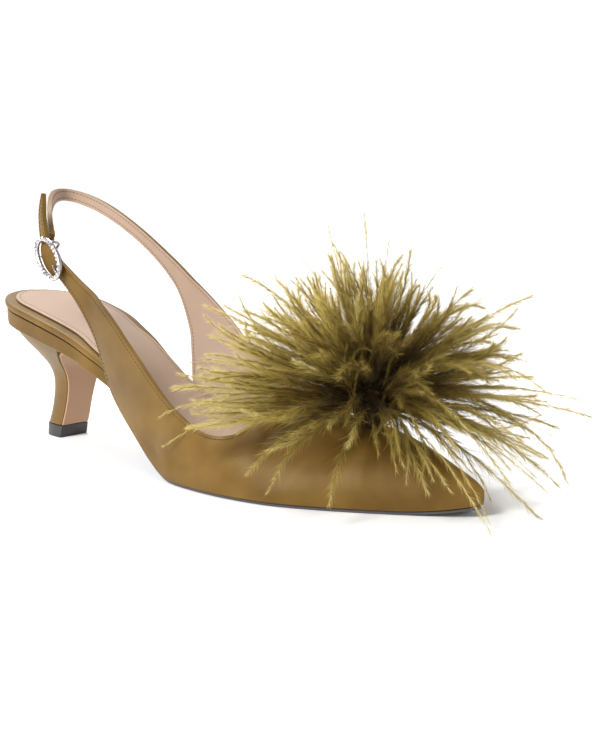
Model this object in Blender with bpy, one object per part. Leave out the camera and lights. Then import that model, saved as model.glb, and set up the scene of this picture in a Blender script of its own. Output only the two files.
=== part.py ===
# A right-foot slingback pump with a pointed toe, a curved mid heel, a buckled
# sling strap and a feather puff on the vamp. Metres, +X to the toe, +Y to the
# inner side of the foot, +Z up. The origin is on the floor, at the centre of
# the heel's top piece.
#
# The tables are drawn in millimetres on the sample last, with x counted from
# the back of the seat, and the driving sizes below stretch them.
import math
from collections import namedtuple

import bmesh
import bpy
from mathutils import Vector
from mathutils.bvhtree import BVHTree

MM = 0.001

# driving sizes, in metres
LENGTH = 0.250
BALL_WIDTH = 0.0740
HEEL_HEIGHT = 0.065
INSTEP = 0.0298

# the sample last, in millimetres
SAMPLE_LENGTH = 250.0
SAMPLE_BALL = 74.0
SAMPLE_HEEL = 65.0
SAMPLE_INSTEP = 29.8

STRETCH_X = LENGTH / (SAMPLE_LENGTH * MM)
STRETCH_Y = BALL_WIDTH / (SAMPLE_BALL * MM)
STRETCH_Z = HEEL_HEIGHT / (SAMPLE_HEEL * MM)
VAMP_RISE = INSTEP / (SAMPLE_INSTEP * MM) / STRETCH_Z

# thicknesses and clearances, in millimetres
WALL = 1.8
TIP_WALL = 0.3
GAP = 0.3
OUTSOLE = 1.2
SOLE_START = 60.0
SOLE_STEP = 6.0
RIM = 2.4
SOCK = 0.9
PANEL = 1.0
TOP_PIECE = 5.5
UPPER_INSET = WALL + GAP + 0.4
LATERAL = -1
MEDIAL = 1

# the centre of the top piece, from the back of the seat
HEEL_REST = 24.4

# half widths of the last's outline on either side of its long axis
Width = namedtuple("Width", "x lateral medial")
OUTLINE = [
    Width(26.0, 24.5, 25.3),
    Width(45.0, 25.2, 23.2),
    Width(64.0, 24.4, 17.9),
    Width(80.0, 24.8, 15.2),
    Width(92.0, 26.4, 15.4),
    Width(103.0, 28.6, 17.8),
    Width(115.0, 31.0, 22.8),
    Width(130.0, 34.6, 28.6),
    Width(145.0, 37.2, 33.2),
    Width(160.0, 38.0, 36.0),
    Width(180.0, 36.0, 36.0),
    Width(205.0, 26.6, 28.2),
    Width(228.0, 14.0, 16.6),
    Width(243.0, 5.4, 8.8),
    Width(247.75, 1.9, 5.9),
]
SEAT_DEPTH = 26.0
TIP_X = 245.5
TIP_Y = 2.0
TIP_RADIUS = 4.5

# height of the insole's top, and of the lower edge of rand and sole
Height = namedtuple("Height", "x z")
INSOLE_TOP = [
    Height(0.0, 65.0), Height(12.0, 62.6), Height(27.0, 59.4), Height(47.5, 54.5),
    Height(63.6, 49.3), Height(78.0, 43.0), Height(88.0, 37.0), Height(100.0, 27.6),
    Height(110.0, 20.4), Height(125.0, 12.4), Height(138.0, 8.4), Height(155.0, 6.9),
    Height(200.0, 6.6), Height(225.0, 7.4), Height(250.0, 10.4),
]
SOLE_LINE = [
    Height(0.0, 55.1), Height(52.0, 43.1), Height(57.0, 41.7), Height(63.0, 39.7),
    Height(70.0, 37.0), Height(79.0, 32.8), Height(92.0, 25.4), Height(104.6, 15.9),
    Height(116.0, 7.8), Height(124.7, 2.7), Height(134.0, 0.0), Height(226.0, 0.0),
    Height(238.0, 0.9), Height(250.0, 3.0),
]
SEAT_SLOPE = (SOLE_LINE[1].z - SOLE_LINE[0].z) / SOLE_LINE[1].x

# toe and vamp: the foot of each section on the outline, the ridge above it
Ridge = namedtuple("Ridge", "foot_x top_x top_y top_z bow upright")
RIDGE = [
    Ridge(247.6, 247.8, 1.9, 11.9, 1.0, 1.0),
    Ridge(243.0, 242.8, 1.6, 14.5, 1.0, 1.0),
    Ridge(236.0, 235.6, 1.4, 17.6, 1.2, 1.0),
    Ridge(228.0, 227.6, 1.2, 21.0, 1.4, 1.0),
    Ridge(218.0, 217.6, 0.9, 24.3, 1.6, 1.0),
    Ridge(206.0, 205.5, 0.6, 26.7, 1.8, 1.0),
    Ridge(194.0, 193.0, 0.3, 28.5, 1.8, 1.0),
    Ridge(184.0, 182.0, 0.0, 29.5, 1.8, 1.0),
    Ridge(176.0, 172.6, 0.0, 29.8, 1.8, 1.0),
]
TIP_FRONT = Ridge(250.0, 250.4, 2.0, 9.7, 0.9, 1.0)

# throat and quarter, alike on both sides: the foot on the outline, the topline
Throat = namedtuple("Throat", "foot_x top_x top_y top_z bow upright")
THROAT = [
    Throat(172.0, 170.9, 9.0, 29.2, 1.8, 0.95),
    Throat(167.5, 168.6, 18.0, 27.2, 1.8, 0.85),
    Throat(162.0, 165.3, 25.0, 24.2, 1.8, 0.75),
    Throat(156.0, 160.6, 29.3, 22.0, 1.8, 0.65),
    Throat(149.0, 154.8, 32.0, 21.2, 1.7, 0.55),
    Throat(141.0, 148.5, 33.5, 22.6, 1.6, 0.45),
    Throat(131.0, 141.5, 34.0, 25.8, 1.5, 0.4),
    Throat(120.0, 133.0, 33.6, 30.2, 1.5, 0.35),
    Throat(109.0, 124.0, 32.6, 36.6, 1.5, 0.3),
    Throat(99.0, 115.0, 31.6, 43.9, 1.4, 0.25),
]

# rear edge of the quarter, from the sole line up, and the topline over it
Quarter = namedtuple("Quarter", "low_x low_y low_z top_x top_y top_z bow upright")
LATERAL_QUARTER = [
    Quarter(92.0, 26.5, 28.0, 107.0, 30.8, 50.3, 1.3, 0.2),
    Quarter(88.6, 26.6, 35.0, 99.8, 30.0, 56.4, 1.1, 0.15),
    Quarter(85.2, 26.5, 42.0, 93.4, 29.2, 61.3, 0.8, 0.1),
    Quarter(82.4, 26.6, 49.6, 87.4, 28.6, 65.4, 0.5, 0.05),
]
MEDIAL_QUARTER = [
    Quarter(93.6, 17.6, 28.0, 107.4, 31.0, 51.8, 1.3, 0.2),
    Quarter(90.8, 20.2, 35.0, 100.6, 30.4, 57.9, 1.1, 0.15),
    Quarter(88.0, 22.4, 42.0, 94.4, 29.8, 63.2, 0.8, 0.1),
    Quarter(85.3, 24.5, 50.4, 88.6, 29.2, 67.8, 0.5, 0.05),
]

# the sling strap: the middle of the band, its width and the way that it faces,
# in degrees round from the toe to the inner side
Band = namedtuple("Band", "x y z width facing")
LATERAL_STRAP = [
    Band(78.6, -27.0, 64.4, 11.0, -91.0),
    Band(71.5, -27.2, 70.2, 8.0, -91.0),
    Band(64.0, -27.3, 75.8, 6.8, -93.0),
    Band(58.0, -27.0, 79.8, 6.2, -96.0),
    Band(52.8, -26.5, 84.4, 6.0, -100.0),
    Band(48.9, -25.8, 89.6, 6.0, -104.0),
    Band(46.9, -25.2, 95.4, 6.0, -107.0),
    Band(46.0, -24.7, 100.6, 5.6, -109.0),
    Band(45.9, -24.2, 105.0, 4.2, -110.0),
    Band(46.0, -23.7, 109.2, 0.9, -110.0),
]
MEDIAL_STRAP = [
    Band(79.8, 28.2, 68.0, 10.8, 90.0),
    Band(72.0, 28.8, 74.7, 8.0, 90.0),
    Band(62.4, 28.9, 81.7, 6.3, 91.0),
    Band(52.0, 28.6, 88.6, 5.6, 93.0),
    Band(41.3, 27.9, 94.9, 5.5, 95.0),
    Band(30.0, 26.6, 100.8, 5.5, 100.0),
    Band(20.0, 24.0, 105.2, 5.5, 111.0),
    Band(13.0, 19.3, 107.9, 5.5, 136.0),
    Band(10.9, 13.2, 108.6, 5.5, 183.0),
    Band(14.6, 6.8, 108.1, 5.5, 218.0),
    Band(20.3, 0.5, 107.0, 5.5, 228.0),
    Band(26.8, -5.6, 105.3, 5.5, 230.0),
    Band(33.8, -11.6, 102.9, 5.5, 232.0),
    Band(40.4, -16.8, 99.6, 5.5, 236.0),
    Band(45.6, -20.5, 95.2, 5.5, 240.0),
    Band(49.4, -22.6, 90.4, 5.0, 244.0),
]

# the heel: its back, its breast and the half width there, from the floor up
Heel = namedtuple("Heel", "back_x back_z front_x front_z half fullness")
TOP_PIECE_ROWS = [
    Heel(17.0, 0.0, 31.8, 0.0, 7.5, 2.5),
    Heel(17.4, TOP_PIECE, 33.3, TOP_PIECE, 7.4, 2.5),
]
HEEL = [
    Heel(18.0, TOP_PIECE + GAP, 33.6, TOP_PIECE + GAP, 7.2, 2.4),
    Heel(20.3, 11.5, 35.6, 11.0, 7.0, 2.4),
    Heel(21.9, 17.5, 37.4, 17.0, 6.9, 2.4),
    Heel(23.0, 23.0, 39.0, 22.5, 7.3, 2.4),
    Heel(23.1, 28.0, 40.1, 27.5, 8.2, 2.4),
    Heel(21.6, 32.6, 41.0, 31.2, 10.0, 2.4),
    Heel(18.3, 37.0, 42.5, 34.4, 12.8, 2.4),
    Heel(13.2, 41.6, 45.2, 37.4, 16.0, 2.4),
    Heel(7.4, 46.8, 48.8, 39.8, 19.0, 2.6),
]
HEEL_TOP = Heel(1.6, 54.4, 50.2, 43.2, 22.0, 3.0)
BREAST_END = [
    Heel(0.0, 0.0, 52.4, 40.9, 20.0, 0.0),
    Heel(0.0, 0.0, 56.8, 40.1, 18.6, 0.0),
]

# the buckle: the middle of its ring, the ring's two radii and its wire
BUCKLE_MIDDLE = (56.8, -29.5, 82.4)
BUCKLE_ALONG = (-0.72, 0.10, 0.69)
BUCKLE_OUT = (0.15, -0.99, 0.0)
BUCKLE_LONG = 10.3
BUCKLE_SHORT = 5.4
BUCKLE_WIRE = 1.05
BUCKLE_BEADS = 22
BAR_WIRE = 0.6
BAR_PLACE = 0.55

# the puff: where its core sits on the vamp, and its locks
PUFF_X = 203.0
PUFF_RADIUS = 12.0
PUFF_HEIGHT = 15.0
PUFF_LIFT = 1.0
PUFF_SEAT = 0.45
LOCKS = 66
LOCK_REACH = 66.0
LOCK_SHORTER_UP = 13.0
LOCK_SHORTER_AHEAD = 13.0
LOCK_LONGER_BEHIND = 5.0
LOCK_DROOP = 22.0
LOCK_SIZES = [1.15, 1.4, 1.35, 0.95, 0.2]

Finish = namedtuple("Finish", "red green blue roughness metallic")
SATIN = Finish(0.300, 0.195, 0.060, 0.42, 0.0)
NUDE = Finish(0.640, 0.430, 0.300, 0.55, 0.0)
PINK_SOCK = Finish(0.600, 0.440, 0.350, 0.55, 0.0)
DARK_SOLE = Finish(0.060, 0.055, 0.055, 0.50, 0.0)
BLACK_TIP = Finish(0.030, 0.025, 0.025, 0.45, 0.0)
SILVER = Finish(0.800, 0.780, 0.780, 0.20, 1.0)
FEATHER = Finish(0.330, 0.250, 0.070, 0.80, 0.0)


def place(x, y, z):
    """A point of the sample last, in millimetres, in the shoe's own frame."""
    return Vector(((x - HEEL_REST) * STRETCH_X, y * STRETCH_Y, z * STRETCH_Z)) * MM


def between(rows, column, x):
    """Read a column of a table at x, on a smooth curve that never overshoots."""
    xs = [row.x for row in rows]
    values = [getattr(row, column) for row in rows]
    x = min(max(x, xs[0]), xs[-1])
    slopes = [(values[i + 1] - values[i]) / (xs[i + 1] - xs[i]) for i in range(len(xs) - 1)]
    bends = [slopes[0]]
    for before, after in zip(slopes, slopes[1:]):
        bends.append(2 * before * after / (before + after) if before * after > 0 else 0.0)
    bends.append(slopes[-1])
    i = max(k for k in range(len(xs) - 1) if x >= xs[k])
    step = xs[i + 1] - xs[i]
    t = (x - xs[i]) / step
    return (values[i] * (1 + 2 * t) * (1 - t) ** 2 + values[i + 1] * t * t * (3 - 2 * t)
            + step * (bends[i] * t * (1 - t) ** 2 - bends[i + 1] * t * t * (1 - t)))


def smooth_rows(rows, steps):
    """Fill in rows of numbers between the given ones, on a smooth curve."""
    filled = []
    last = len(rows) - 1
    for i in range(last):
        a, b, c, d = (rows[min(max(k, 0), last)] for k in (i - 1, i, i + 1, i + 2))
        for k in range(steps):
            t = k / steps
            filled.append([
                0.5 * (2 * q + (r - p) * t + (2 * p - 5 * q + 4 * r - s) * t * t
                       + (3 * q - p - 3 * r + s) * t ** 3)
                for p, q, r, s in zip(a, b, c, d)])
    filled.append(list(rows[last]))
    return filled


def outline(x, side, inset=0.0):
    """The signed distance of the outline from the long axis, at x on one side."""
    tip = TIP_X + TIP_RADIUS * 0.5
    if x > tip:
        reach = max((TIP_RADIUS - inset) ** 2 - (x - TIP_X) ** 2, 0.0)
        return TIP_Y + side * math.sqrt(reach)
    column = "lateral" if side == LATERAL else "medial"
    half = between(OUTLINE, column, max(x, SEAT_DEPTH)) - inset
    if x < SEAT_DEPTH:
        share = (SEAT_DEPTH - x) / (SEAT_DEPTH - inset)
        half *= math.sqrt(max(1 - share * share, 0.0))
    return side * half


def insole_top(x):
    return between(INSOLE_TOP, "z", x)


def sole_line(x):
    """Lower edge of rand and sole. Under the seat it is one straight slope."""
    if x <= SOLE_LINE[1].x:
        return SOLE_LINE[0].z + SEAT_SLOPE * x
    return between(SOLE_LINE[1:], "z", x)


def ease(x, start, end):
    t = min(max((x - start) / (end - start), 0.0), 1.0)
    return t * t * (3 - 2 * t)


def material(name, finish):
    made = bpy.data.materials.new(name)
    made.use_nodes = True
    shader = made.node_tree.nodes["Principled BSDF"]
    shader.inputs["Base Color"].default_value = (finish.red, finish.green, finish.blue, 1.0)
    shader.inputs["Roughness"].default_value = finish.roughness
    shader.inputs["Metallic"].default_value = finish.metallic
    return made


def finish_object(name, bm, finish, sharp=40):
    mesh = bpy.data.meshes.new(name)
    bm.to_mesh(mesh)
    bm.free()
    mesh.shade_smooth()
    mesh.set_sharp_from_angle(angle=math.radians(sharp))
    made = bpy.data.objects.new(name, mesh)
    bpy.context.scene.collection.objects.link(made)
    made.data.materials.append(material(name, finish))
    return made


def loft(name, loops, finish, ring=False, sharp=40):
    """Join closed loops of points into one body, capped at both ends or a ring."""
    bm = bmesh.new()
    rows = [[bm.verts.new(point) for point in loop] for loop in loops]
    pairs = list(zip(rows, rows[1:]))
    if ring:
        pairs.append((rows[-1], rows[0]))
    for row, following in pairs:
        count = len(row)
        for i in range(count):
            j = (i + 1) % count
            bm.faces.new((row[i], row[j], following[j], following[i]))
    for row in () if ring else (rows[0], rows[-1]):
        middle = bm.verts.new(sum((vert.co for vert in row), Vector()) / len(row))
        for i, vert in enumerate(row):
            bm.faces.new((vert, row[(i + 1) % len(row)], middle))
    bmesh.ops.recalc_face_normals(bm, faces=bm.faces[:])
    return finish_object(name, bm, finish, sharp)


def stations(start, end, inset):
    """Places along the last: close together round the seat and over the arch."""
    depth = SEAT_DEPTH - inset
    places = [SEAT_DEPTH - depth * math.cos(math.radians(a)) for a in (5, 14, 26, 40, 55, 70, 84)]
    places += [30.0 + 6.0 * k for k in range(40)]
    return [x for x in places if start < x < end - 1.5] + [end]


def slab(name, xs, side_at, top_at, bottom_at, edge, finish):
    """A layer that follows the last: flat across, with its long edges rounded."""
    loops = []
    for x in xs:
        low_y, high_y = side_at(x, LATERAL), side_at(x, MEDIAL)
        top, bottom = top_at(x), bottom_at(x)
        r = min(edge, 0.3 * (high_y - low_y), 0.45 * (top - bottom))
        profile = [
            (low_y, top - r), (low_y + 0.3 * r, top - 0.3 * r), (low_y + r, top),
            (high_y - r, top), (high_y - 0.3 * r, top - 0.3 * r), (high_y, top - r),
            (high_y, bottom + r), (high_y - r, bottom), (low_y + r, bottom), (low_y, bottom + r),
        ]
        loops.append([place(x, y, z) for y, z in profile])
    return loft(name, loops, finish)


def inner_inset(x):
    """The rim's setback: flush round the seat, inside the upper further on."""
    return UPPER_INSET * ease(x, 72.0, 86.0) + 2.4 * ease(x, 160.0, 222.0)


def rim_bottom(x):
    return insole_top(x) - RIM - 1.2 * ease(x, -6.0, 24.0)


def insole_bottom(x):
    rim = rim_bottom(x)
    board = sole_line(x) + OUTSOLE + GAP
    return rim + (board - rim) * ease(x, 98.0, 104.0)


def insole():
    xs = stations(0.0, 228.0, 0.0)
    return slab("insole", xs, lambda x, side: outline(x, side, inner_inset(x)),
                insole_top, insole_bottom, 0.9, SATIN)


def sock_lining():
    margin = 5.0

    def side_at(x, side):
        return outline(x, side, inner_inset(x) + margin - 3.3 * ease(x, 60.0, 84.0))

    xs = stations(margin, 224.0, margin)
    return slab("sock_lining", xs, side_at, lambda x: insole_top(x) + GAP + SOCK,
                lambda x: insole_top(x) + GAP, 0.3, PINK_SOCK)


def outsole_side(x, side):
    return outline(x, side, 0.9 + 4.6 * (1 - ease(x, 97.0, 114.0)))


def outsole():
    xs = [SOLE_START + SOLE_STEP * k for k in range(31)] + [243.0, 246.4, 248.2, 248.95]
    return slab("outsole", xs, outsole_side, lambda x: sole_line(x) + OUTSOLE,
                sole_line, 0.25, DARK_SOLE)


def sole_recess():
    """What the sole's rear end takes out of the rand, with the gap round it."""
    xs = [SOLE_START - GAP] + [SOLE_START + SOLE_STEP * k for k in range(1, 8)]
    cutter = slab("sole_recess", xs, lambda x, side: outsole_side(x, side) + side * GAP,
                  lambda x: sole_line(x) + OUTSOLE + GAP, lambda x: sole_line(x) - 3.0, 0.2, SATIN)
    cutter.hide_render = True
    cutter.display_type = "WIRE"
    return cutter


def shank_rand():
    """The covered band under the rim, recessed along the shank for the sole."""
    chamfer = 0.6
    loops = []
    for x in stations(0.0, 96.0, 0.0):
        setback = 0.8 + UPPER_INSET * ease(x, 72.0, 86.0)
        low_y, high_y = outline(x, LATERAL, setback), outline(x, MEDIAL, setback)
        top, bottom = rim_bottom(x) - GAP, sole_line(x)
        edge = min(chamfer, 0.3 * (high_y - low_y))
        profile = [
            (low_y, top), (high_y, top), (high_y, bottom + edge), (high_y - edge, bottom),
            (low_y + edge, bottom), (low_y, bottom + edge),
        ]
        loops.append([place(x, y, z) for y, z in profile])
    made = loft("shank_rand", loops, SATIN)
    cut = made.modifiers.new("sole", "BOOLEAN")
    cut.operation = "DIFFERENCE"
    cut.object = sole_recess()
    cut.use_self = True
    return made


def heel_loop(row, setback):
    """A heel section: flat at the breast, full and round behind it."""
    back = Vector((row.back_x, row.back_z))
    front = Vector((row.front_x, row.front_z))
    if setback:
        front -= setback * (front - back).normalized()
    points = []
    for k in range(19):
        angle = math.pi * k / 18
        across = math.copysign(abs(math.cos(angle)) ** (2 / row.fullness), math.cos(angle))
        depth = math.sin(angle) ** (2 / row.fullness)
        spot = front + depth * (back - front)
        points.append(place(spot.x, row.half * across, spot.y))
    return points


def heel_rows(rows, steps):
    return [Heel(*values) for values in smooth_rows(rows, steps)]


def breast_run(rows, i):
    """The way the breast runs at one of its rows, from the floor up."""
    if i == 0:
        return Vector((0.0, 1.0))
    before, after = rows[i - 1], rows[min(i + 1, len(rows) - 1)]
    return Vector((after.front_x - before.front_x, after.front_z - before.front_z)).normalized()


def heel_block():
    rows = heel_rows(HEEL, 2)
    loops = []
    for i, row in enumerate(rows):
        run = breast_run(heel_rows(HEEL + BREAST_END, 2), i)
        chord = Vector((row.front_x - row.back_x, row.front_z - row.back_z)).normalized()
        loops.append(heel_loop(row, (PANEL + GAP) / abs(chord.x * run.y - chord.y * run.x)))
    loops.append(heel_loop(HEEL_TOP, 0.0))
    return loft("heel_block", loops, SATIN, sharp=50)


def top_piece():
    return loft("top_piece", [heel_loop(row, 0.0) for row in TOP_PIECE_ROWS], BLACK_TIP)


def breast_panel():
    """A thin flap down the breast of the heel, swept under the shank above."""
    rows = heel_rows(HEEL + BREAST_END, 2)
    loops = []
    for i, row in enumerate(rows):
        run = breast_run(rows, i)
        inward = Vector((-run.y, run.x)) * PANEL
        outer, inner = [], []
        for k in range(5):
            y = row.half * (k - 2) / 2
            outer.append(place(row.front_x, y, row.front_z))
            inner.append(place(row.front_x + inward.x, y, row.front_z + inward.y))
        loops.append(outer + inner[::-1])
    return loft("breast_panel", loops, NUDE)


def vamp_row(row, side):
    low = (row.foot_x, outline(row.foot_x, side), sole_line(row.foot_x) + OUTSOLE + GAP)
    top = (row.top_x, row.top_y, low[2] + (row.top_z - low[2]) * VAMP_RISE)
    return list(low) + list(top) + [row.bow, row.upright]


def throat_row(row, side):
    return vamp_row(row._replace(top_y=side * row.top_y), side)


def quarter_row(row, side):
    return [row.low_x, side * row.low_y, row.low_z,
            row.top_x, side * row.top_y, row.top_z, row.bow, row.upright]


def strap_rows(bands, side):
    rows = []
    for i, band in enumerate(bands):
        before, after = bands[max(i - 1, 0)], bands[min(i + 1, len(bands) - 1)]
        run = Vector((after.x - before.x, after.y - before.y, after.z - before.z))
        facing = math.radians(band.facing)
        out = Vector((math.cos(facing), math.sin(facing), 0.0))
        across = out.cross(run).normalized() * side * band.width / 2
        middle = Vector((band.x, band.y, band.z))
        rows.append(list(middle - across) + list(middle + across) + [0.0, 0.0])
    return rows


def upper_sections(side):
    """Curved cross lines from the sole or strap edge up to the ridge or topline."""
    quarters = LATERAL_QUARTER if side == LATERAL else MEDIAL_QUARTER
    straps = LATERAL_STRAP if side == LATERAL else MEDIAL_STRAP
    vamp = [vamp_row(TIP_FRONT, side)]
    vamp[0][1] = TIP_Y
    vamp += [vamp_row(row, side) for row in RIDGE]
    rear = [vamp[-1]] + [throat_row(row, side) for row in THROAT]
    rear += [quarter_row(row, side) for row in quarters]
    rear += strap_rows(straps, side)
    rows = smooth_rows(vamp, 2)[:-1] + smooth_rows(rear, 2)
    middles = [Vector([(row[k] + row[k + 3]) / 2 for k in range(3)]) for row in rows]
    sections = []
    for i, row in enumerate(rows):
        low, top = Vector(row[0:3]), Vector(row[3:6])
        bow, upright = row[6], row[7]
        chord = top - low
        if i == 0:
            out = Vector((1.0, 0.0, 0.0))
        else:
            run = middles[min(i + 1, len(rows) - 1)] - middles[i - 1]
            out = (run.cross(chord) * side).normalized()
        flat = Vector((chord.x, chord.y, 0.0))
        rise = Vector((0.0, 0.0, chord.z))
        straight = (1 - upright) / 3
        first = low + flat * straight + rise * (1 / 3 + 0.07 * upright) + out * bow
        second = top - flat * (1 / 3 + 0.13 * upright) - rise * (straight + 0.04 * upright)
        second += out * bow * (1 - upright)
        sections.append((low, first, second, top))
    return sections


def upper_skin():
    """The outer skin: both sides share the front line of the toe and the ridge."""
    across = 7
    bm = bmesh.new()
    for side in (LATERAL, MEDIAL):
        grid = []
        for low, first, second, top in upper_sections(side):
            line = []
            for k in range(across + 1):
                t = k / across
                point = (low * (1 - t) ** 3 + first * 3 * t * (1 - t) ** 2
                         + second * 3 * t * t * (1 - t) + top * t ** 3)
                line.append(bm.verts.new(place(*point)))
            grid.append(line)
        for row, following in zip(grid, grid[1:]):
            for k in range(across):
                corners = [row[k], following[k], following[k + 1], row[k + 1]]
                bm.faces.new(corners if side == MEDIAL else corners[::-1])
    bmesh.ops.remove_doubles(bm, verts=bm.verts[:], dist=0.00002)
    return bm


def upper():
    made = finish_object("upper", upper_skin(), SATIN, sharp=60)
    lean = made.vertex_groups.new(name="lean")
    for vert in made.data.vertices:
        x = vert.co.x / MM / STRETCH_X + HEEL_REST
        lean.add([vert.index], 1.0 - (1.0 - TIP_WALL) * ease(x, 241.0, 247.0), "REPLACE")
    wall = made.modifiers.new("wall", "SOLIDIFY")
    wall.vertex_group = lean.name
    wall.thickness = WALL * MM
    wall.offset = -1.0
    wall.use_even_offset = True
    wall.use_quality_normals = True
    return made


def tube(name, path, radii, sides, finish, ring=False, hint=Vector((0.0, 0.0, 1.0))):
    """A round bar along a path of points, with a radius for each."""
    loops = []
    last = len(path) - 1
    for i, point in enumerate(path):
        if ring:
            run = path[(i + 1) % len(path)] - path[i - 1]
        else:
            run = path[min(i + 1, last)] - path[max(i - 1, 0)]
        first = run.cross(hint).normalized()
        second = run.cross(first).normalized()
        loops.append([
            point + radii[i] * (first * math.cos(2 * math.pi * k / sides)
                                + second * math.sin(2 * math.pi * k / sides))
            for k in range(sides)])
    return loft(name, loops, finish, ring=ring)


def buckle_axes():
    along = Vector(BUCKLE_ALONG).normalized()
    out = Vector(BUCKLE_OUT)
    out = (out - out.dot(along) * along).normalized()
    return along, out, along.cross(out)


def buckle_point(u, v, w):
    """A point of the buckle: along the strap, across it and out from it."""
    along, out, across = buckle_axes()
    spot = Vector(BUCKLE_MIDDLE) + along * u + across * v + out * w
    return place(*spot)


def buckle_frame():
    """The oval ring, its wire swelling at each of the set stones."""
    path, radii = [], []
    count = BUCKLE_BEADS * 2
    for k in range(count):
        angle = 2 * math.pi * k / count
        path.append(buckle_point(BUCKLE_LONG * math.cos(angle), BUCKLE_SHORT * math.sin(angle), 0.0))
        radii.append(MM * BUCKLE_WIRE * (1.12 if k % 2 else 0.94))
    return tube("buckle_frame", path, radii, 6, SILVER, ring=True, hint=buckle_axes()[1])


def buckle_bar():
    """A staple behind the near strap: the far strap's end hangs on it."""
    u = BUCKLE_LONG * BAR_PLACE
    v = BUCKLE_SHORT * math.sqrt(1 - BAR_PLACE ** 2)
    root = -(BUCKLE_WIRE * 1.12 + GAP)
    depth = -6.2
    spots = [(v, root), (v, depth + 1.0), (v - 0.7, depth + 0.25), (v - 1.4, depth),
             (-v + 1.4, depth), (-v + 0.7, depth + 0.25), (-v, depth + 1.0), (-v, root)]
    path = [buckle_point(u, across, out) for across, out in spots]
    return tube("buckle_bar", path, [BAR_WIRE * MM] * len(path), 8, SILVER, hint=buckle_axes()[0])


def buckle_prong():
    """The prong's tip, out of its hole and over the strap to the ring."""
    spots = [(-3.4, -0.55), (-5.8, -0.35), (-8.2, 0.0)]
    path = [buckle_point(u, 0.0, w) for u, w in spots]
    radii = [0.5 * MM, 0.5 * MM, 0.3 * MM]
    return tube("buckle_prong", path, radii, 8, SILVER, hint=buckle_axes()[2])


def lock_course(root, aim, number):
    """Where one lock runs: out along its own way, then down under its weight."""
    reach = LOCK_REACH - LOCK_SHORTER_UP * aim.z
    reach += LOCK_LONGER_BEHIND * max(-aim.x, 0.0) - LOCK_SHORTER_AHEAD * max(aim.x, 0.0)
    reach *= 1.0 + 0.09 * math.sin(number * 2.4)
    droop = LOCK_DROOP * (1.0 - aim.z)
    course = []
    for k in range(len(LOCK_SIZES)):
        t = (k + 1) / len(LOCK_SIZES)
        spot = root + aim * reach * t
        spot.z -= droop * t * t
        course.append(spot)
    return course


def feather_puff(skin):
    """A dark core on the vamp, with tapered locks drawn out of its faces."""
    bm = bmesh.new()
    bmesh.ops.create_icosphere(bm, subdivisions=3, radius=1.0)
    middle = Vector((PUFF_X, 0.6, between([Height(r.top_x, r.top_z) for r in RIDGE[::-1]], "z", PUFF_X)))
    for vert in bm.verts:
        spot = vert.co
        rounded = Vector((spot.x * PUFF_RADIUS, spot.y * PUFF_RADIUS, max(spot.z, -0.12) * PUFF_HEIGHT))
        vert.co = middle + rounded + Vector((0.0, 0.0, PUFF_LIFT))
    under = [vert for vert in bm.verts if vert.co.z < middle.z + PUFF_LIFT + 0.5]
    for vert in under:
        start = place(vert.co.x, vert.co.y, 80.0)
        hit = skin.ray_cast(start, Vector((0.0, 0.0, -1.0)))[0]
        vert.co.z = hit.z / MM / STRETCH_Z + PUFF_SEAT
    bm.normal_update()
    free = [face for face in bm.faces
            if face.calc_center_median().z > middle.z + 2.2 and face.calc_area() > 0.4]
    golden = math.pi * (3 - math.sqrt(5))
    for number in range(LOCKS):
        height = 0.02 + 0.96 * (number + 0.5) / LOCKS
        turn = number * golden
        flat = math.sqrt(1 - height * height)
        aim = Vector((flat * math.cos(turn), flat * math.sin(turn), height))
        face = max(free, key=lambda f: (f.calc_center_median() - middle).normalized().dot(aim))
        free.remove(face)
        root = face.calc_center_median()
        lift = 0.05 + 0.25 * max(-aim.x, 0.0) + 0.04 * max(aim.x, 0.0)
        aim.z = lift + (1.0 - lift) * aim.z
        before = root
        spread = sum((v.co - root).length for v in face.verts) / 3
        shape = [(v.co - root).normalized() for v in face.verts]
        course = lock_course(root, aim.normalized(), number)
        for spot, size in zip(course, LOCK_SIZES):
            grown = bmesh.ops.extrude_discrete_faces(bm, faces=[face])["faces"]
            face = grown[0]
            run = (spot - before).normalized()
            for vert, ray in zip(face.verts, shape):
                turned = (ray - ray.dot(run) * run).normalized()
                vert.co = spot + turned * spread * size
            before = spot
    for vert in bm.verts:
        vert.co = place(*vert.co)
    bmesh.ops.recalc_face_normals(bm, faces=bm.faces[:])
    return finish_object("feather_puff", bm, FEATHER, sharp=80)


def clear_scene():
    for old in list(bpy.data.objects):
        bpy.data.objects.remove(old)


def main():
    clear_scene()
    upper()
    insole()
    sock_lining()
    outsole()
    shank_rand()
    heel_block()
    breast_panel()
    top_piece()
    buckle_frame()
    buckle_bar()
    buckle_prong()
    skin = upper_skin()
    feather_puff(BVHTree.FromBMesh(skin))
    skin.free()


main()
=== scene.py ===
# A satin slingback with a feather puff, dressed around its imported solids.
# Lengths in the settings are millimetres, in the shoe's own frame: x runs to the
# toe, y to the inner side of the foot, z up from the floor.
import math

import bmesh
import bpy
import numpy as np
from mathutils import Matrix, Vector
from mathutils.bvhtree import BVHTree


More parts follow.
